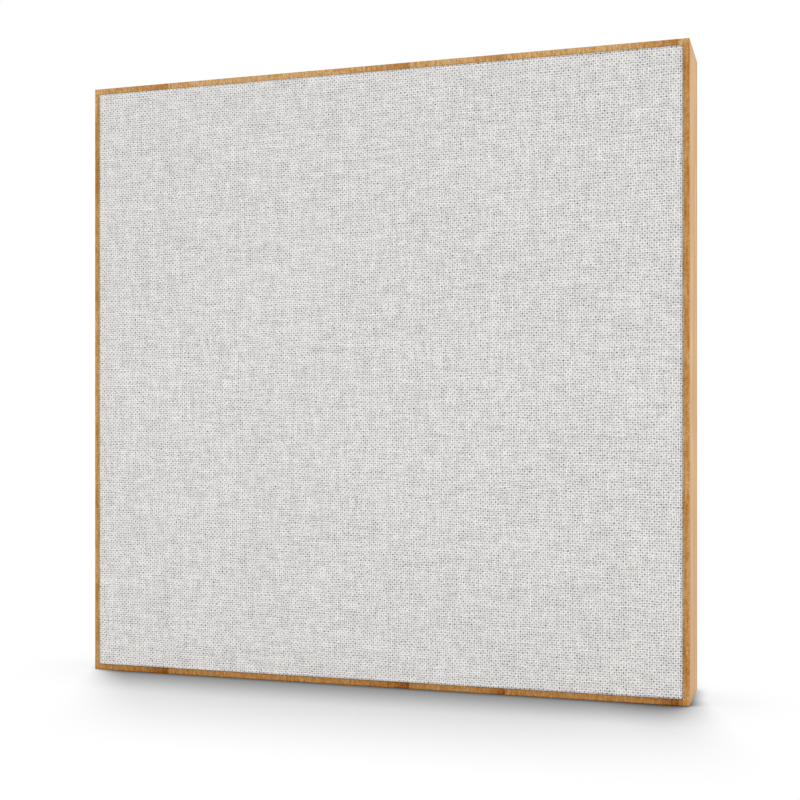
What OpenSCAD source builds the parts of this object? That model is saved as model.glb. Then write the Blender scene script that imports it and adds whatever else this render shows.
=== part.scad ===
// Framed acoustic pad: an absorber slab wrapped in woven cloth, in a thin mitred wooden case.
// +Z is up, the cloth face looks along -Y, and the pad stands on z = 0, centred on x and y.

/* [Case] */
// Width of the case over its boards
case_w = 600; // [300:1:1200]
// Height of the case over its boards
case_h = 600; // [300:1:1200]
// Depth of the case, front edge to back edge
case_d = 85; // [50:1:150]
// Thickness of each case board
board_t = 6; // [5:0.5:18]
// Radius that the boards' sharp edges are sanded to
edge_r = 0.6; // [0.2:0.1:1.5]
// Radius of the case's four outside corners
corner_r = 1; // [0.2:0.1:3]

/* [Back panel] */
// Thickness of the back panel
back_t = 3; // [2:0.5:6]
// Width of the rebate in each board that the back panel sits in
rebate_w = 3; // [1:0.5:4]
// How far the back panel lies inside the case's back edge
back_inset = 1; // [0.5:0.5:6]
// Clearance round the back panel in its rebate
back_gap = 0.3; // [0.1:0.1:1]

/* [Pad] */
// Thickness of the woven cloth
cloth_t = 1.2; // [0.6:0.1:2.5]
// How far the cloth face stands out past the case's front edge
face_proud = 1.5; // [0:0.1:6]
// Clearance between the wrapped pad and the case boards
pad_gap = 0.2; // [0.1:0.1:2]
// Radius of the slab's front edges, under the cloth
slab_r = 0.4; // [0.2:0.1:8]
// Width of the cloth that is turned in behind the slab
hem_w = 35; // [15:1:80]

/* [Hidden] */
$fn = 48;

wood = "#c8945a";
hardboard = "#8a6446";
wool = "#d9cfae";
cloth = "#d3d2cf";

// Cuts run this far past the faces that they cut
past = 1;

// The case's front and back edges, with the whole depth of case and cloth centred on y = 0
case_front = (face_proud - case_d) / 2;
case_back = case_front + case_d;

rebate_d = back_t + back_inset;
back_w = case_w - 2 * (board_t - rebate_w + back_gap);
back_h = case_h - 2 * (board_t - rebate_w + back_gap);
back_front = case_back - rebate_d;

cover_w = case_w - 2 * (board_t + pad_gap);
cover_h = case_h - 2 * (board_t + pad_gap);
cover_front = case_front - face_proud;
cover_d = back_front - cover_front;

slab_w = cover_w - 2 * cloth_t;
slab_h = cover_h - 2 * cloth_t;
slab_front = cover_front + cloth_t;
slab_d = cover_d - 2 * cloth_t;

// What rounds a square corner at the origin, of an outline that lies in x > 0 and y > 0
module corner_cut(r) {
    difference() {
        translate([-past, -past]) square(r + past);
        translate([r, r]) circle(r);
    }
}

// Cross-section of a board: x runs inwards from its outside face, y back from its front edge
module board_section() {
    difference() {
        square([board_t, case_d]);
        corner_cut(edge_r);
        translate([board_t, 0]) mirror([1, 0]) corner_cut(edge_r);
        translate([0, case_d]) mirror([0, 1]) corner_cut(edge_r);
        translate([board_t - rebate_w, case_d - rebate_d]) square([rebate_w + past, rebate_d + past]);
    }
}

// A board stood on end, its outside face on x = 0, both ends mitred at 45 degrees
module mitred_board(length) {
    intersection() {
        linear_extrude(length) board_section();
        translate([0, case_d + past, 0]) rotate([90, 0, 0]) linear_extrude(case_d + 2 * past)
            polygon([[0, 0], [board_t, board_t], [board_t, length - board_t], [0, length]]);
    }
}

// The case's whole outline with its rounded corners, which trims the ends of every board
module case_outline() {
    difference() {
        square([case_w, case_h], center = true);
        for (sx = [0, 1], sz = [0, 1])
            mirror([sx, 0]) mirror([0, sz])
                translate([-case_w / 2, -case_h / 2]) corner_cut(corner_r);
    }
}

module trimmed_to_case() {
    color(wood) intersection() {
        children();
        translate([0, case_back + past, case_h / 2]) rotate([90, 0, 0])
            linear_extrude(case_d + 2 * past) case_outline();
    }
}

module stile() {
    translate([-case_w / 2, case_front, 0]) mitred_board(case_h);
}

module rail() {
    translate([case_w / 2, case_front, 0]) rotate([0, -90, 0]) mitred_board(case_w);
}

module top_rail() {
    trimmed_to_case() translate([0, 0, case_h]) mirror([0, 0, 1]) rail();
}

module bottom_rail() {
    trimmed_to_case() rail();
}

module left_stile() {
    trimmed_to_case() stile();
}

module right_stile() {
    trimmed_to_case() mirror([1, 0, 0]) stile();
}

module back_panel() {
    color(hardboard)
        translate([-back_w / 2, back_front, (case_h - back_h) / 2]) cube([back_w, back_t, back_h]);
}

// Cross-section of a slab, centred on x, with both front corners rounded
module rounded_front(w, d, r) {
    difference() {
        translate([-w / 2, 0]) square([w, d]);
        for (s = [0, 1])
            mirror([s, 0]) translate([-w / 2, 0]) corner_cut(r);
    }
}

// A slab centred on x and z whose front face is on y = 0, with all four front edges rounded
module slab_form(w, h, d, r) {
    intersection() {
        linear_extrude(h, center = true) rounded_front(w, d, r);
        rotate([0, 90, 0]) linear_extrude(w, center = true) rounded_front(h, d, r);
    }
}

module slab_in_place() {
    translate([0, slab_front, case_h / 2]) slab_form(slab_w, slab_h, slab_d, slab_r);
}

module absorber_core() {
    color(wool) slab_in_place();
}

// The cloth goes over the slab's front and round its four sides, and turns in behind it
module fabric_cover() {
    color(cloth) difference() {
        translate([0, cover_front, case_h / 2]) slab_form(cover_w, cover_h, cover_d, slab_r + cloth_t);
        slab_in_place();
        translate([0, back_front, case_h / 2])
            cube([cover_w - 2 * hem_w, 2 * (cloth_t + past), cover_h - 2 * hem_w], center = true);
    }
}

top_rail();
bottom_rail();
left_stile();
right_stile();
back_panel();
absorber_core();
fabric_cover();
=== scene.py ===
import math
import bmesh
import bpy
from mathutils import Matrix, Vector, noise


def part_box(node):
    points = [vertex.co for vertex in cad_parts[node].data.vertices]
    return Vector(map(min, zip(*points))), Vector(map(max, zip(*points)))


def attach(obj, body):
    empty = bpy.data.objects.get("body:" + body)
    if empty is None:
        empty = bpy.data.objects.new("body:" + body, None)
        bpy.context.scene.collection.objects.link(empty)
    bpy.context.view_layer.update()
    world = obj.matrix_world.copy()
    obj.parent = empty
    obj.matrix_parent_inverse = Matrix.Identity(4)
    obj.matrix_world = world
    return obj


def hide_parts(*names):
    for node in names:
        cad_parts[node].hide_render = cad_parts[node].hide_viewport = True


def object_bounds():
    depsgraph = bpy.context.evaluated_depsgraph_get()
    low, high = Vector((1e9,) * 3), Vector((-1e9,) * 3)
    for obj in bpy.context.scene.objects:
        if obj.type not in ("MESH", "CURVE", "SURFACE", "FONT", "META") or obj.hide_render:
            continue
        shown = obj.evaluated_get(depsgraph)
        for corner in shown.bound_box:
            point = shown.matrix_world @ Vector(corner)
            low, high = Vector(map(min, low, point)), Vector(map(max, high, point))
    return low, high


# A square acoustic pad: woven cloth over an absorber slab, in a thin case of four wooden boards.
# Metres, +Z up, the cloth face looks along -Y.

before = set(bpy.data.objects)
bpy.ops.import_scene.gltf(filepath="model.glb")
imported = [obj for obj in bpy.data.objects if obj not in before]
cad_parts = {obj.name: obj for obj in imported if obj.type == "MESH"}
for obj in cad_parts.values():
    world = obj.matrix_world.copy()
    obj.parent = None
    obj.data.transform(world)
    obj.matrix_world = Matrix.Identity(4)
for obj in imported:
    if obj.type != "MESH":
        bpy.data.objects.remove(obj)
cadLow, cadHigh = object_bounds()
mm = 0.001
caseWidth = cadHigh.x - cadLow.x
caseHeight = cadHigh.z - cadLow.z
caseDepth = cadHigh.y - cadLow.y
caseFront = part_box("left_stile")[0].y
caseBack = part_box("left_stile")[1].y
print("frame loaded", round(caseWidth, 3), round(caseDepth, 3), round(caseHeight, 3))


def linear(red, green, blue):
    # a colour as read off a screen, 0 to 255, in the linear values that nodes take
    out = []
    for level in (red, green, blue):
        level = level / 255
        out.append(level / 12.92 if level <= 0.04045 else ((level + 0.055) / 1.055) ** 2.4)
    return (*out, 1.0)


class Wire:
    # an output socket; maths on it adds Math nodes
    def __init__(self, graph, socket):
        self.graph = graph
        self.socket = socket

    def __add__(self, other):
        return self.graph.maths("ADD", self, other)

    def __radd__(self, other):
        return self.graph.maths("ADD", other, self)

    def __sub__(self, other):
        return self.graph.maths("SUBTRACT", self, other)

    def __rsub__(self, other):
        return self.graph.maths("SUBTRACT", other, self)

    def __mul__(self, other):
        return self.graph.maths("MULTIPLY", self, other)

    def __rmul__(self, other):
        return self.graph.maths("MULTIPLY", other, self)

    def __truediv__(self, other):
        return self.graph.maths("DIVIDE", self, other)

    def __pow__(self, other):
        return self.graph.maths("POWER", self, other)

    def __neg__(self):
        return self.graph.maths("MULTIPLY", self, -1.0)


class Graph:
    # the node tree of one material
    def __init__(self, name):
        self.material = bpy.data.materials.new(name)
        self.material.use_nodes = True
        self.nodes = self.material.node_tree.nodes
        self.links = self.material.node_tree.links
        self.nodes.clear()

    def make(self, kind, settings=None, inputs=None, output=0):
        node = self.nodes.new(kind)
        for name, value in (settings or {}).items():
            if name == "stops":
                ramp = node.color_ramp
                while len(ramp.elements) < len(value):
                    ramp.elements.new(0.5)
                for element, (place, colour) in zip(ramp.elements, value):
                    element.position = place
                    element.color = colour
            elif name == "interpolation":
                node.color_ramp.interpolation = value
            else:
                setattr(node, name, value)
        for key, value in (inputs or {}).items():
            if isinstance(value, Wire):
                self.links.new(value.socket, node.inputs[key])
            else:
                node.inputs[key].default_value = value
        return Wire(self, node.outputs[output]) if node.outputs else None

    def maths(self, operation, first, second=0.0, third=0.0, clamp=False):
        return self.make("ShaderNodeMath", {"operation": operation, "use_clamp": clamp},
                         {0: first, 1: second, 2: third})

    def sine(self, value):
        return self.maths("SINE", value)

    def absolute(self, value):
        return self.maths("ABSOLUTE", value)

    def largest(self, first, second):
        return self.maths("MAXIMUM", first, second)

    def floor(self, value):
        return self.maths("FLOOR", value)

    def clamped(self, value):
        return self.maths("ADD", value, 0.0, clamp=True)

    def smooth(self, value, low, high):
        # 0 below low, 1 above high, with soft ends
        return self.make("ShaderNodeMapRange", {"interpolation_type": "SMOOTHSTEP"},
                         {"Value": value, "From Min": low, "From Max": high})

    def place(self, x, y, z):
        return self.make("ShaderNodeCombineXYZ", {}, {"X": x, "Y": y, "Z": z})

    def split(self, vector):
        node = self.nodes.new("ShaderNodeSeparateXYZ")
        self.links.new(vector.socket, node.inputs[0])
        return [Wire(self, node.outputs[i]) for i in range(3)]

    def blur(self, vector, scale=1.0, detail=2.0, roughness=0.5):
        # soft noise, 0 to 1 about a mean of a half
        return self.make("ShaderNodeTexNoise", {"noise_dimensions": "3D"},
                         {"Vector": vector, "Scale": scale, "Detail": detail, "Roughness": roughness})

    def speckle(self, vector):
        # one even random number for each whole-number place
        return self.make("ShaderNodeTexWhiteNoise", {"noise_dimensions": "3D"}, {"Vector": vector})

    def mix(self, factor, first, second, blend="MIX"):
        return self.make("ShaderNodeMix", {"data_type": "RGBA", "blend_type": blend},
                         {0: factor, 6: first, 7: second}, 2)

    def bump(self, height, strength, distance):
        return self.make("ShaderNodeBump", {}, {"Height": height, "Strength": strength, "Distance": distance})

    def finish(self, colour, roughness, normal=None, **plain):
        inputs = {"Base Color": colour, "Roughness": roughness}
        if normal is not None:
            inputs["Normal"] = normal
        for name, value in plain.items():
            inputs[name.replace("_", " ")] = value
        shader = self.make("ShaderNodeBsdfPrincipled", {}, inputs)
        self.make("ShaderNodeOutputMaterial", {}, {"Surface": shader})
        return self.material


def meshPiece(name, vertices, faces, material):
    mesh = bpy.data.meshes.new(name)
    mesh.from_pydata(vertices, [], faces)
    mesh.materials.append(material)
    mesh.update()
    piece = bpy.data.objects.new(name, mesh)
    bpy.context.scene.collection.objects.link(piece)
    return piece


# Camera: level, at the height and turn of the picture, with its off-centre framing
view = {"turn": 18.54, "across": 0.6747, "back": 2.114, "up": 0.4194, "lens": 62.01,
        "shiftAcross": 0.0615, "shiftUp": 0.0326}

cameraData = bpy.data.cameras.new("pictureCamera")
cameraData.lens = view["lens"]
cameraData.sensor_width = 36
cameraData.shift_x = view["shiftAcross"]
cameraData.shift_y = view["shiftUp"]
camera = bpy.data.objects.new("pictureCamera", cameraData)
camera.location = (view["across"] * caseHeight, caseFront - view["back"] * caseHeight, view["up"] * caseHeight)
camera.rotation_euler = (math.pi / 2, 0, math.radians(view["turn"]))
bpy.context.scene.collection.objects.link(camera)
bpy.context.scene.camera = camera
print("camera placed")


# Wooden boards: streaks along the grain, slow figure, and on the rails' edges staves of changing tone
wood = {"tones": [(0.0, (131, 72, 5)), (0.4, (161, 110, 48)), (0.72, (181, 131, 72)), (0.92, (194, 147, 87)),
                  (1.0, (206, 164, 110))],
        "orange": (0.88, 0.71, 0.34), "blond": (1.12, 1.29, 1.66), "longTone": 0.88, "streakPitch": 3.2,
        "figureLength": 75, "edgeBand": 0.7, "roughness": 0.46,
        "staveEdges": (-470, -216, 38.5, 131, 290.5, 455), "staveSwell": 0.06, "stileTone": 0.73}
# a stave's tone, partly the wood's own and partly painted light, with the top rail lighter as if lit from above and
# the bottom rail darker as if in shade; how far it darkens and reddens towards its right end, and how late
railStaves = {"top_rail": {"tone": 0.93, "fall": 0.38, "redness": 0.0, "lateness": 7.0},
              "bottom_rail": {"tone": 0.60, "fall": 0.60, "redness": 0.28, "lateness": 12.0}}


def woodMaterial(name):
    g = Graph(name)
    alongX = name in railStaves
    spot = g.make("ShaderNodeTexCoord", {}, {}, "Object")
    x, y, z = g.split(spot)
    x = x * (1 / mm)
    y = y * (1 / mm)
    z = z * (1 / mm)
    along, across = (x, z) if alongX else (z, x)
    # long grain of the board's wide faces
    drift = g.blur(g.place(across * 0.02, y * 0.02, along * 0.006), 1.0, 2.0) - 0.5
    fine = g.blur(g.place(across * 0.9, y * (1 / wood["streakPitch"]) + drift * 6, along * 0.012), 1.0, 4.0, 0.62)
    broad = g.blur(g.place(across * 0.1, y * 0.07 + drift * 2, along * 0.004), 1.0, 2.0)
    figure = g.blur(g.place(across * 0.03, y * 0.03, along * (1 / wood["figureLength"])), 1.0, 2.0)
    mottle = g.blur(g.place(x * 0.5, y * 0.3, z * 0.5), 1.0, 3.0, 0.7) - 0.5
    longTone = wood["longTone"] + (fine - 0.5) * 0.4 + (broad - 0.5) * 0.4 + (figure - 0.5) * 0.2 + mottle * 0.1
    longStreak = (fine - 0.5) * 1.6 + (broad - 0.5) * 1.2 + (figure - 0.5) * 0.4 + 0.05
    # edge grain of the front: upright streaks, and on the rails staves that darken towards one side
    front = 1 - g.smooth(y, caseFront / mm + wood["edgeBand"], caseFront / mm + wood["edgeBand"] + 0.5)
    fineEdge = g.blur(g.place(x * 0.5, y * 0.05, z * 0.03), 1.0, 4.0, 0.68) - 0.5
    figureEdge = g.blur(g.place(x * 0.02, y * 0.02, z * (2 / wood["figureLength"])), 1.0, 2.5) - 0.5
    if alongX:
        stave = railStaves[name]
        edgeTone = stave["tone"] + fineEdge * 0.5 + mottle * 0.9
        staveEnds = 0.0
        # the glued joints between staves are a little ragged
        ragged = x + (g.blur(g.place(x * 0.2, 4.0, z * 0.9), 1.0, 2.0) - 0.5) * 5
        for left, right in zip(wood["staveEdges"], wood["staveEdges"][1:]):
            inside = g.smooth(ragged, left - 0.7, left + 0.7) * (1 - g.smooth(ragged, right - 0.7, right + 0.7))
            share = g.clamped((x - left) * (1 / (right - left)))
            edgeTone = edgeTone + inside * g.sine(share * math.pi) * wood["staveSwell"]
            staveEnds = staveEnds + inside * (share ** stave["lateness"])
        # painted shade: the lowest edge, where the pad stands on the floor, is a little darker, as the contact
        # shade there
        edgeTone = edgeTone - staveEnds * stave["fall"] - (1 - g.smooth(z, 0.0, 1.6)) * 0.3
        edgeStreak = fineEdge * 2.2 + mottle * 1.2 - staveEnds * stave["redness"]
    else:
        crest = g.smooth(z, caseHeight / mm - 30, caseHeight / mm - 6)
        # the front darkens a little towards its inner edge, and a painted highlight lightens the last millimetre of
        # that edge, where an eased edge would catch light
        inner = 1 - g.smooth(g.absolute(x), caseWidth / 2 / mm - 6, caseWidth / 2 / mm - 1)
        paintedEdgeHighlight = 1 - g.smooth(g.absolute(x), caseWidth / 2 / mm - 5.8, caseWidth / 2 / mm - 4.8)
        edgeTone = wood["stileTone"] + fineEdge * 0.6 + figureEdge * 0.3 + mottle * 1.05 + crest * 0.14
        edgeTone = edgeTone + paintedEdgeHighlight * 0.4 - inner * 0.06
        edgeStreak = fineEdge * 2.6 + figureEdge * 2.0 + mottle * 0.9 + 0.03
    grain = g.clamped(longTone + (edgeTone - longTone) * front)
    streak = g.clamped(0.5 + longStreak + (edgeStreak - longStreak) * front)
    stops = [(place, linear(*tone)) for place, tone in wood["tones"]]
    tint = g.mix(streak, (*wood["orange"], 1.0), (*wood["blond"], 1.0))
    colour = g.mix(1.0, g.make("ShaderNodeValToRGB", {"stops": stops}, {0: grain}), tint, "MULTIPLY")
    pores = g.blur(g.place(across * 1.6, y * 1.6, along * 0.05), 1.0, 3.0, 0.7)
    roughness = wood["roughness"] + (pores - 0.5) * 0.2
    normal = g.bump(pores * 0.6 + fine * 0.4, 0.25, 0.15 * mm)
    return g.finish(colour, roughness, normal, IOR=1.45, Specular_IOR_Level=0.2)


for node in ("top_rail", "bottom_rail", "left_stile", "right_stile"):
    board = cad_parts[node]
    board.data.materials.clear()
    board.data.materials.append(woodMaterial(node))
print("boards finished")


# Back panel: smooth hardboard with fine fibres
hardboard = {"pale": (172, 132, 96), "mid": (142, 104, 74), "dark": (96, 66, 44), "roughness": 0.6}


def hardboardMaterial():
    g = Graph("hardboard")
    spot = g.make("ShaderNodeTexCoord", {}, {}, "Object")
    x, y, z = g.split(spot)
    # pressed fibres lie every way, so two sets of short strands cross each other
    first = g.blur(g.place(x * 260 + z * 90, y * 400, z * 900 - x * 300), 1.0, 3.0, 0.6)
    second = g.blur(g.place(x * 900 + z * 300, y * 400 + 5, z * 260 - x * 90), 1.0, 3.0, 0.6)
    flecks = g.smooth(g.blur(spot, 1400.0, 2.0, 0.5), 0.66, 0.74)
    clouds = g.blur(spot, 5.0, 2.0, 0.5) - 0.5
    strands = g.largest(first, second) - 0.55
    tone = g.clamped(0.5 + strands * 3.2 + clouds * 0.08 - flecks * 0.5)
    stops = [(0.0, linear(*hardboard["dark"])), (0.5, linear(*hardboard["mid"])), (1.0, linear(*hardboard["pale"]))]
    colour = g.make("ShaderNodeValToRGB", {"stops": stops}, {0: tone})
    roughness = hardboard["roughness"] + strands * 0.4
    return g.finish(colour, roughness, g.bump(strands, 0.15, 0.05 * mm))


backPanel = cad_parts["back_panel"]
backPanel.data.materials.clear()
backPanel.data.materials.append(hardboardMaterial())
print("back panel finished")


# Panel pins: flat heads in one row round the back panel, over the ledge of the rebate
pins = {"perSide": 7, "inset": 1.35, "headRadius": 0.85, "headHeight": 0.35, "sunk": 0.15, "sides": 12}


def pinSteel():
    g = Graph("pinSteel")
    spot = g.make("ShaderNodeTexCoord", {}, {}, "Object")
    scratches = g.blur(spot, 2500.0, 3.0, 0.6)
    colour = g.mix(scratches, linear(150, 150, 148), linear(196, 196, 193))
    return g.finish(colour, 0.32 + (scratches - 0.5) * 0.3, g.bump(scratches, 0.15, 0.05 * mm), Metallic=1.0)


def pinTree(material):
    # a grid over the panel, of which only the outermost points carry a pin
    tree = bpy.data.node_groups.new("pinRow", "GeometryNodeTree")
    sockets = {"Width": "NodeSocketFloat", "Height": "NodeSocketFloat", "Back": "NodeSocketFloat",
               "Centre Height": "NodeSocketFloat", "Pins Per Side": "NodeSocketInt",
               "Head Radius": "NodeSocketFloat", "Head Height": "NodeSocketFloat", "Head Sides": "NodeSocketInt"}
    for name, kind in sockets.items():
        tree.interface.new_socket(name, in_out="INPUT", socket_type=kind)
    tree.interface.new_socket("Geometry", in_out="OUTPUT", socket_type="NodeSocketGeometry")

    def add(kind, settings=None, inputs=None):
        node = tree.nodes.new(kind)
        for name, value in (settings or {}).items():
            setattr(node, name, value)
        for key, value in (inputs or {}).items():
            if isinstance(value, bpy.types.NodeSocket):
                tree.links.new(value, node.inputs[key])
            else:
                node.inputs[key].default_value = value
        return node

    given = add("NodeGroupInput").outputs
    grid = add("GeometryNodeMeshGrid", {}, {"Size X": given["Width"], "Size Y": given["Height"],
                                            "Vertices X": given["Pins Per Side"],
                                            "Vertices Y": given["Pins Per Side"]})
    spot = add("ShaderNodeSeparateXYZ", {}, {0: add("GeometryNodeInputPosition").outputs[0]})
    inner = []
    for axis, size in (("X", given["Width"]), ("Y", given["Height"])):
        away = add("ShaderNodeMath", {"operation": "ABSOLUTE"}, {0: spot.outputs[axis]})
        limit = add("ShaderNodeMath", {"operation": "MULTIPLY"}, {0: size, 1: 0.49})
        inner.append(add("ShaderNodeMath", {"operation": "LESS_THAN"},
                         {0: away.outputs[0], 1: limit.outputs[0]}).outputs[0])
    both = add("ShaderNodeMath", {"operation": "MULTIPLY"}, {0: inner[0], 1: inner[1]})
    outer = add("GeometryNodeDeleteGeometry", {"domain": "POINT", "mode": "ALL"},
                {"Geometry": grid.outputs["Mesh"], "Selection": both.outputs[0]})
    slimmer = add("ShaderNodeMath", {"operation": "MULTIPLY"}, {0: given["Head Radius"], 1: 0.8})
    head = add("GeometryNodeMeshCone", {"fill_type": "NGON"},
               {"Vertices": given["Head Sides"], "Radius Top": slimmer.outputs[0],
                "Radius Bottom": given["Head Radius"], "Depth": given["Head Height"]})
    row = add("GeometryNodeInstanceOnPoints", {}, {"Points": outer.outputs["Geometry"],
                                                   "Instance": head.outputs["Mesh"]})
    # the grid lies flat, so it is stood up and its heads are turned to the back
    shift = add("ShaderNodeCombineXYZ", {}, {"Y": given["Back"], "Z": given["Centre Height"]})
    upright = add("GeometryNodeTransform", {}, {"Geometry": row.outputs["Instances"],
                                                "Translation": shift.outputs[0],
                                                "Rotation": (-math.pi / 2, 0, 0)})
    real = add("GeometryNodeRealizeInstances", {}, {"Geometry": upright.outputs[0]})
    coated = add("GeometryNodeSetMaterial", {}, {"Geometry": real.outputs[0], "Material": material})
    add("NodeGroupOutput", {}, {"Geometry": coated.outputs[0]})
    return tree


def pinPiece():
    low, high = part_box("back_panel")
    inset = 2 * pins["inset"] * mm
    holder = bpy.data.objects.new("pinHolder", bpy.data.meshes.new("pinHolder"))
    bpy.context.scene.collection.objects.link(holder)
    rows = holder.modifiers.new("pins", "NODES")
    rows.node_group = pinTree(pinSteel())
    values = {"Width": high.x - low.x - inset, "Height": high.z - low.z - inset,
              "Back": high.y - pins["sunk"] * mm, "Centre Height": (low.z + high.z) / 2,
              "Pins Per Side": pins["perSide"], "Head Radius": pins["headRadius"] * mm,
              "Head Height": pins["headHeight"] * mm, "Head Sides": pins["sides"]}
    for item in rows.node_group.interface.items_tree:
        if item.item_type == "SOCKET" and item.in_out == "INPUT":
            rows[item.identifier] = values[item.name]
    ready = holder.evaluated_get(bpy.context.evaluated_depsgraph_get())
    mesh = bpy.data.meshes.new_from_object(ready)
    holder.modifiers.remove(rows)
    bpy.data.objects.remove(holder)
    mesh.name = "panelPins"
    piece = bpy.data.objects.new("panelPins", mesh)
    bpy.context.scene.collection.objects.link(piece)
    return piece


panelPins = pinPiece()
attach(panelPins, "root")
print("panel pins driven:", len(panelPins.data.polygons), "faces")


# Cloth: coarse plain weave, stretched over the slab's face, round its sides and turned in behind it
cloth = {"warpPitch": 2.11, "weftPitch": 2.19, "pale": (240, 238, 236), "base": 0.92, "shine": 0.13,
         "wander": 1.5, "rowGap": (0.03, 0.17), "columnGap": (0.02, 0.15), "hole": (0.31, 0.21),
         "faintHole": 0.10, "fuzz": 0.26, "yarnTone": 0.30, "bands": 0.05,
         "thickness": 1.2, "edgeRadius": 1.2, "edgeShade": 0.18, "edgeShadeShift": 0.6,
         "crown": 0.25, "ripple": 0.12, "hem": 35, "turnSteps": 6, "spacing": 4.0}


def clothMaterial(faceWide, faceTall):
    # half the width and height of the flat face, in millimetres
    g = Graph("wovenCloth")
    flat = g.make("ShaderNodeUVMap", {"uv_map": "cut"})
    u, v, _ = g.split(flat)
    flatU = u * (1 / mm)
    flatV = v * (1 / mm)
    # the yarns wander a little
    u = flatU + (g.blur(g.place(flatU * 0.10, flatV * 0.08, 3.0), 1.0, 2.0) - 0.5) * (2 * cloth["wander"])
    v = flatV + (g.blur(g.place(flatU * 0.08, flatV * 0.10, 9.0), 1.0, 2.0) - 0.5) * (2 * cloth["wander"])
    warp = u * (1 / cloth["warpPitch"])
    weft = v * (1 / cloth["weftPitch"])
    # yarns run through the whole numbers, and the gaps between them through the halves
    gapWarp = g.sine(warp * math.pi)
    gapWeft = g.sine(weft * math.pi)
    crossWarp = g.sine(warp * math.pi + math.pi / 2)
    crossWeft = g.sine(weft * math.pi + math.pi / 2)
    cellWarp = g.floor(warp)
    cellWeft = g.floor(weft)
    # painted shade: the gaps between rows and between columns are darkened, more where the weave opens
    openRow = g.smooth(g.blur(g.place(u * 0.07, cellWeft * 7.31, 2.0), 1.0, 2.0), 0.38, 0.62)
    openColumn = g.smooth(g.blur(g.place(cellWarp * 7.31, v * 0.07, 1.0), 1.0, 2.0), 0.38, 0.62)
    rowGap = (g.absolute(gapWeft) ** 2.5) * (cloth["rowGap"][0] + openRow * cloth["rowGap"][1])
    columnGap = (g.absolute(gapWarp) ** 2.5) * (cloth["columnGap"][0] + openColumn * cloth["columnGap"][1])
    # a deep hole at every other gap crossing, a faint one between, each painted dark as the shade in it
    chance = g.speckle(g.place(cellWarp, cellWeft, 1.0))
    corner = gapWarp * gapWeft
    hole = g.smooth(-corner, 0.2, 0.95) * (cloth["hole"][0] + chance * cloth["hole"][1])
    faint = g.smooth(corner, 0.2, 0.95) * chance * cloth["faintHole"]
    # painted highlight: thick stretches of a yarn are painted lighter on their crowns, as if they catch more light
    thickRow = g.smooth(g.blur(g.place(u * 0.05, g.floor(weft + 0.5) * 5.17, 11.0), 1.0, 2.0), 0.48, 0.66)
    thickColumn = g.smooth(g.blur(g.place(g.floor(warp + 0.5) * 5.17, v * 0.05, 12.0), 1.0, 2.0), 0.48, 0.66)
    shine = g.largest((crossWeft ** 2.0) * thickRow, (crossWarp ** 2.0) * thickColumn)
    # fibres lie along whichever yarn is on top
    checker = crossWarp * crossWeft
    warpOnTop = g.smooth(checker, -0.12, 0.12)
    warpFibres = g.blur(g.place(u * 5.5 + v * 1.6, v * 0.9, 21.0), 1.0, 2.0)
    weftFibres = g.blur(g.place(u * 0.9, v * 5.5 - u * 1.6, 27.0), 1.0, 2.0)
    fibres = weftFibres + (warpFibres - weftFibres) * warpOnTop - 0.5
    fuzz = g.blur(g.place(u * 0.8, v * 0.8, 0.0), 1.0, 3.0, 0.6) - 0.5
    # no two yarns are quite alike, and each keeps its tone for a hand's width
    rowTone = g.blur(g.place(u * 0.018, g.floor(weft + 0.5) * 5.17, 31.0), 1.0, 2.0) - 0.5
    columnTone = g.blur(g.place(g.floor(warp + 0.5) * 5.17, v * 0.018, 37.0), 1.0, 2.0) - 0.5
    yarnTone = rowTone + (columnTone - rowTone) * warpOnTop
    bandRows = g.blur(g.place(u * 0.004, cellWeft * 0.31, 5.0), 1.0, 2.0) - 0.5
    bandColumns = g.blur(g.place(cellWarp * 0.31, v * 0.004, 6.0), 1.0, 2.0) - 0.5
    bands = bandRows + bandColumns
    light = cloth["base"] + shine * cloth["shine"] + fuzz * cloth["fuzz"] + bands * cloth["bands"]
    light = light + yarnTone * cloth["yarnTone"]
    # painted shade darkens the cloth where it turns over its edge, most of all on the right
    beyond = g.largest(g.absolute(flatU) - faceWide, g.absolute(flatV) - faceTall)
    beyond = beyond + flatU * (cloth["edgeShadeShift"] / faceWide)
    paintedEdgeShade = g.smooth(beyond, -0.8, 0.8) * cloth["edgeShade"]
    light = g.clamped(light + fibres * 0.25 - rowGap - columnGap - hole - faint - paintedEdgeShade)
    colour = g.mix(light, (0.004, 0.004, 0.004, 1.0), linear(*cloth["pale"]))
    warpHeight = (g.absolute(crossWarp) + checker) * 0.5
    weftHeight = (g.absolute(crossWeft) - checker) * 0.5
    height = g.largest(warpHeight, weftHeight) + fibres * 0.25 + fuzz * 0.2
    normal = g.bump(height - hole, 0.6, 0.45 * mm)
    return g.finish(colour, 0.92, normal, Sheen_Weight=0.1, Sheen_Roughness=0.5, Specular_IOR_Level=0.2)


def spaced(low, high, fine, coarse, band):
    # places from low to high, close together within band of either end
    near = max(1, round(band / fine))
    middle = max(1, round((high - low - 2 * band) / coarse))
    places = [low + band * i / near for i in range(near)]
    places += [low + band + (high - low - 2 * band) * i / middle for i in range(middle)]
    places += [high - band + band * i / near for i in range(near + 1)]
    return places


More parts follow.
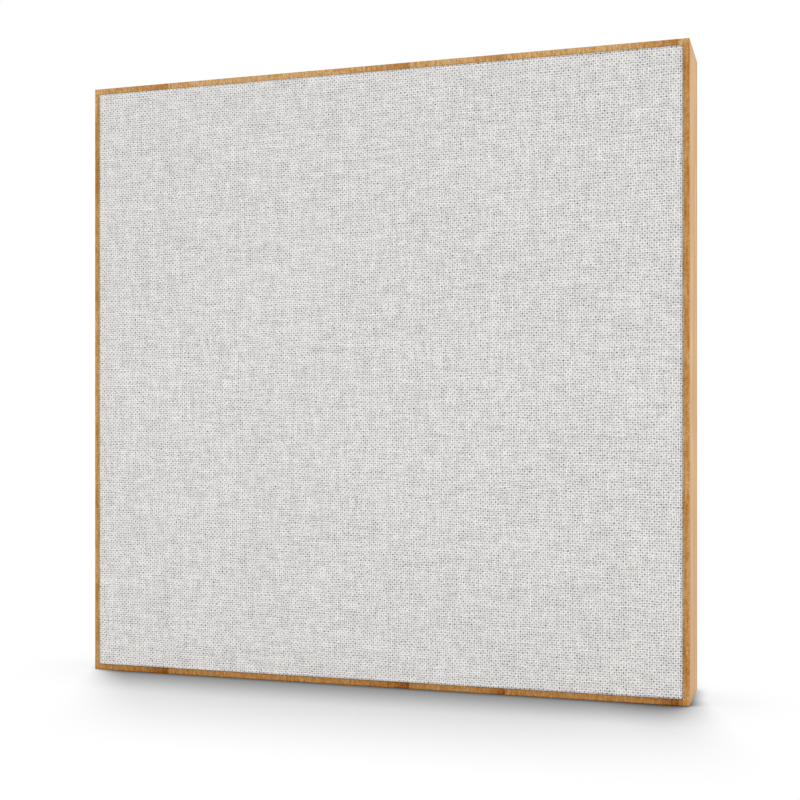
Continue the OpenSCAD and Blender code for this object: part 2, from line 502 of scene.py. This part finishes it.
def clothPiece():
    low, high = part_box("fabric_cover")
    radius = cloth["edgeRadius"] * mm
    centre = (low.z + high.z) / 2
    halfWide = (high.x - low.x) / 2
    halfTall = (high.z - low.z) / 2
    xs = spaced(-halfWide + radius, halfWide - radius, 1.5 * mm, cloth["spacing"] * mm, 12 * mm)
    zs = spaced(-halfTall + radius, halfTall - radius, 1.5 * mm, cloth["spacing"] * mm, 12 * mm)
    vertices, flat, faces = [], [], []
    for z in zs:
        for x in xs:
            inset = min(halfWide - abs(x), halfTall - abs(z)) - radius
            swell = min(1.0, inset / (30 * mm))
            wave = noise.noise(Vector((x * 14, 3.0, z * 14))) * cloth["ripple"] * mm
            crown = cloth["crown"] * mm * (1 - (x / halfWide) ** 2) * (1 - (z / halfTall) ** 2)
            vertices.append((x, low.y - (crown + wave) * swell, centre + z))
            flat.append((x, z))
    columns, rows = len(xs), len(zs)
    for j in range(rows - 1):
        for i in range(columns - 1):
            k = j * columns + i
            faces.append((k, k + 1, k + columns + 1, k + columns))
    # the rim of the face, anticlockwise as seen from the front
    rim = [i for i in range(columns)]
    rim += [j * columns + columns - 1 for j in range(1, rows)]
    rim += [(rows - 1) * columns + i for i in range(columns - 2, -1, -1)]
    rim += [j * columns for j in range(rows - 2, 0, -1)]
    # rings round the edge, back along the sides, round the back edge and in behind
    rings = []
    turn = cloth["turnSteps"]
    for step in range(1, turn + 1):
        angle = math.pi / 2 * step / turn
        rings.append((radius * math.sin(angle), radius * (1 - math.cos(angle)), radius * angle))
    depth = high.y - low.y
    for step in range(1, 9):
        share = step / 8
        back = radius + (depth - 2 * radius) * share
        rings.append((radius, back, radius * math.pi / 2 + back - radius))
    side = radius * math.pi / 2 + depth - 2 * radius
    for step in range(1, turn + 1):
        angle = math.pi / 2 * step / turn
        rings.append((radius * math.cos(angle), depth - radius + radius * math.sin(angle), side + radius * angle))
    for step in range(1, 5):
        inward = (cloth["hem"] * mm - radius) * step / 4
        rings.append((-inward, depth, side + radius * math.pi / 2 + inward))
    before = rim
    for outward, back, run in rings:
        ring = []
        for k in rim:
            x, _, z = vertices[k]
            z -= centre
            signX = (x >= halfWide - radius - 1e-7) - (x <= -halfWide + radius + 1e-7)
            signZ = (z >= halfTall - radius - 1e-7) - (z <= -halfTall + radius + 1e-7)
            corner = 0.72 if signX and signZ and outward > 0 else 1.0
            ring.append(len(vertices))
            vertices.append((x + signX * outward * corner, low.y + back, centre + z + signZ * outward * corner))
            flat.append((x + signX * run, z + signZ * run))
        for a in range(len(rim)):
            b = (a + 1) % len(rim)
            faces.append((before[a], ring[a], ring[b], before[b]))
        before = ring
    material = clothMaterial((halfWide - radius) / mm, (halfTall - radius) / mm)
    piece = meshPiece("clothCover", vertices, faces, material)
    layer = piece.data.uv_layers.new(name="cut")
    for loop in piece.data.loops:
        layer.data[loop.index].uv = flat[loop.vertex_index]
    for polygon in piece.data.polygons:
        polygon.use_smooth = True
    wall = piece.modifiers.new("thickness", "SOLIDIFY")
    wall.thickness = cloth["thickness"] * mm
    wall.offset = -1
    cut = 2 * (side + radius * math.pi / 2 + cloth["hem"] * mm - radius)
    return piece, (2 * (halfWide - radius) + cut, 2 * (halfTall - radius) + cut)


clothCover, clothCut = clothPiece()
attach(clothCover, "root")
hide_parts("fabric_cover")
clothCut[0] * clothCut[1] * 0.93
print("cloth made, cut", [round(side, 3) for side in clothCut])


# Absorber slab: matted fibres, inside the cloth
slab = {"pale": (226, 216, 182), "dark": (186, 172, 132), "spacing": 12, "roughen": 0.5, "shrink": 0.6}


def slabMaterial():
    g = Graph("absorberWool")
    spot = g.make("ShaderNodeTexCoord", {}, {}, "Object")
    fibres = g.blur(spot, 700.0, 4.0, 0.75)
    clouds = g.blur(spot, 30.0, 3.0, 0.6)
    tone = g.clamped(0.5 + (fibres - 0.5) * 1.4 + (clouds - 0.5) * 0.7)
    colour = g.mix(tone, linear(*slab["dark"]), linear(*slab["pale"]))
    return g.finish(colour, 0.95, g.bump(fibres, 0.7, 0.8 * mm))


def slabPiece():
    low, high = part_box("absorber_core")
    builder = bmesh.new()
    bmesh.ops.create_cube(builder, size=1.0)
    size = high - low
    for corner in builder.verts:
        corner.co = Vector((corner.co.x * size.x, corner.co.y * size.y, corner.co.z * size.z)) + (low + high) / 2
    cuts = round(size.x / (slab["spacing"] * mm))
    bmesh.ops.subdivide_edges(builder, edges=builder.edges[:], cuts=cuts, use_grid_fill=True)
    builder.normal_update()
    for point in builder.verts:
        rough = noise.noise(point.co * 60) * slab["roughen"] * mm
        point.co -= point.normal * (slab["shrink"] * mm + rough)
    mesh = bpy.data.meshes.new("absorberSlab")
    builder.to_mesh(mesh)
    builder.free()
    mesh.materials.append(slabMaterial())
    for polygon in mesh.polygons:
        polygon.use_smooth = True
    piece = bpy.data.objects.new("absorberSlab", mesh)
    bpy.context.scene.collection.objects.link(piece)
    return piece


absorberSlab = slabPiece()
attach(absorberSlab, "root")
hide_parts("absorber_core")
print("slab made")


# Floor and light: a white room whose floor darkens only where the pad stands near
room = {"floorSize": 40, "floorColour": (236, 236, 235), "farReach": 0.301, "farPower": 0.906,
        "nearReach": 0.101, "nearPower": 0.91, "besidePower": 0.22, "contactReach": 0.0125, "contactPower": 1.05,
        "farEnd": 0.95, "nearEnd": 0.35, "shift": 0.0025, "lean": 0.308, "start": 0.007,
        "core": (-0.013, -0.368), "fringe": (0.017, 0.009), "lit": (-0.062, 0.111), "ambient": 0.94}


def floorMaterial():
    g = Graph("paleFloor")
    rays = g.make("ShaderNodeLightPath")
    seen = g.largest(rays, g.largest(Wire(g, rays.socket.node.outputs["Is Glossy Ray"]),
                                     Wire(g, rays.socket.node.outputs["Is Transmission Ray"])))
    # the shade is the pad's real ambient occlusion, shaped by a painted mask of position: it lies in front, leans
    # to one side as it leaves the pad, its ends soften further out, and it is painted darker towards the right end
    x, y, _ = g.split(g.make("ShaderNodeTexCoord", {}, {}, "Object"))
    away = g.largest(-y - room["start"], 0.0)
    leant = x + room["shift"] - away * room["lean"]
    aside = g.absolute(leant)
    core = away * room["core"][1] + (caseWidth / 2 + room["core"][0])
    fringe = g.largest(away * room["fringe"][1] + (caseWidth / 2 + room["fringe"][0]), core + 0.01)
    ahead = 1 - g.smooth(y, *room["lit"])
    within = (1 - g.smooth(aside, core, fringe)) * ahead
    end = g.smooth(leant, caseWidth / 3, caseWidth / 2)
    far = g.make("ShaderNodeAmbientOcclusion", {"samples": 16}, {"Distance": room["farReach"]}, "AO")
    near = g.make("ShaderNodeAmbientOcclusion", {"samples": 16}, {"Distance": room["nearReach"]}, "AO")
    contact = g.make("ShaderNodeAmbientOcclusion", {"samples": 16}, {"Distance": room["contactReach"]}, "AO")
    farPower = within * (1 + end * room["farEnd"]) * room["farPower"]
    nearPower = (within * room["nearPower"] + ahead * room["besidePower"]) * (1 + end * room["nearEnd"])
    shade = (far ** farPower) * (near ** nearPower)
    shade = shade * (contact ** (within * room["contactPower"]))
    white = g.make("ShaderNodeEmission", {}, {"Color": (1, 1, 1, 1), "Strength": shade})
    plain = g.make("ShaderNodeBsdfDiffuse", {}, {"Color": linear(*room["floorColour"])})
    shader = g.make("ShaderNodeMixShader", {}, {0: seen, 1: plain, 2: white})
    g.make("ShaderNodeOutputMaterial", {}, {"Surface": shader})
    return g.material


def stageFloor():
    half = room["floorSize"] / 2
    floor = meshPiece("floor", [(-half, -half, 0), (half, -half, 0), (half, half, 0), (-half, half, 0)],
                      [(0, 1, 2, 3)], floorMaterial())


def worldLight():
    world = bpy.data.worlds.new("whiteRoom")
    world.use_nodes = True
    tree = world.node_tree
    tree.nodes.clear()
    rays = tree.nodes.new("ShaderNodeLightPath")
    shown = tree.nodes.new("ShaderNodeBackground")
    shown.inputs["Strength"].default_value = 1.0
    shown.inputs["Color"].default_value = (1, 1, 1, 1)
    glow = tree.nodes.new("ShaderNodeBackground")
    glow.inputs["Strength"].default_value = room["ambient"]
    glow.inputs["Color"].default_value = (1, 1, 1, 1)
    either = tree.nodes.new("ShaderNodeMath")
    either.operation = "MAXIMUM"
    tree.links.new(rays.outputs["Is Camera Ray"], either.inputs[0])
    tree.links.new(rays.outputs["Is Glossy Ray"], either.inputs[1])
    mix = tree.nodes.new("ShaderNodeMixShader")
    tree.links.new(either.outputs[0], mix.inputs[0])
    tree.links.new(glow.outputs[0], mix.inputs[1])
    tree.links.new(shown.outputs[0], mix.inputs[2])
    out = tree.nodes.new("ShaderNodeOutputWorld")
    tree.links.new(mix.outputs[0], out.inputs["Surface"])
    bpy.context.scene.world = world


def softLamp(name, place, aim, power, size):
    data = bpy.data.lights.new(name, "AREA")
    data.energy = power
    data.size = size
    lamp = bpy.data.objects.new(name, data)
    lamp.location = place
    lamp.rotation_euler = (Vector(aim) - Vector(place)).to_track_quat("-Z", "Y").to_euler()
    lamp.visible_glossy = False  # gloss comes from the white room alone
    lamp.visible_camera = False
    bpy.context.scene.collection.objects.link(lamp)


lamps = {"frontLamp": {"place": (-0.28, -1.05, 0.1), "aim": (-0.1, 0, 0.1), "power": 1.1, "size": 0.2},
         "sideLamp": {"place": (2.3, -0.5, 0.6), "aim": (0.3, 0, 0.3), "power": 13.0, "size": 1.0}}

stageFloor()
worldLight()
for name, lamp in lamps.items():
    softLamp(name, lamp["place"], lamp["aim"], lamp["power"], lamp["size"])
bpy.context.scene.view_settings.view_transform = "Standard"
print("room lit")
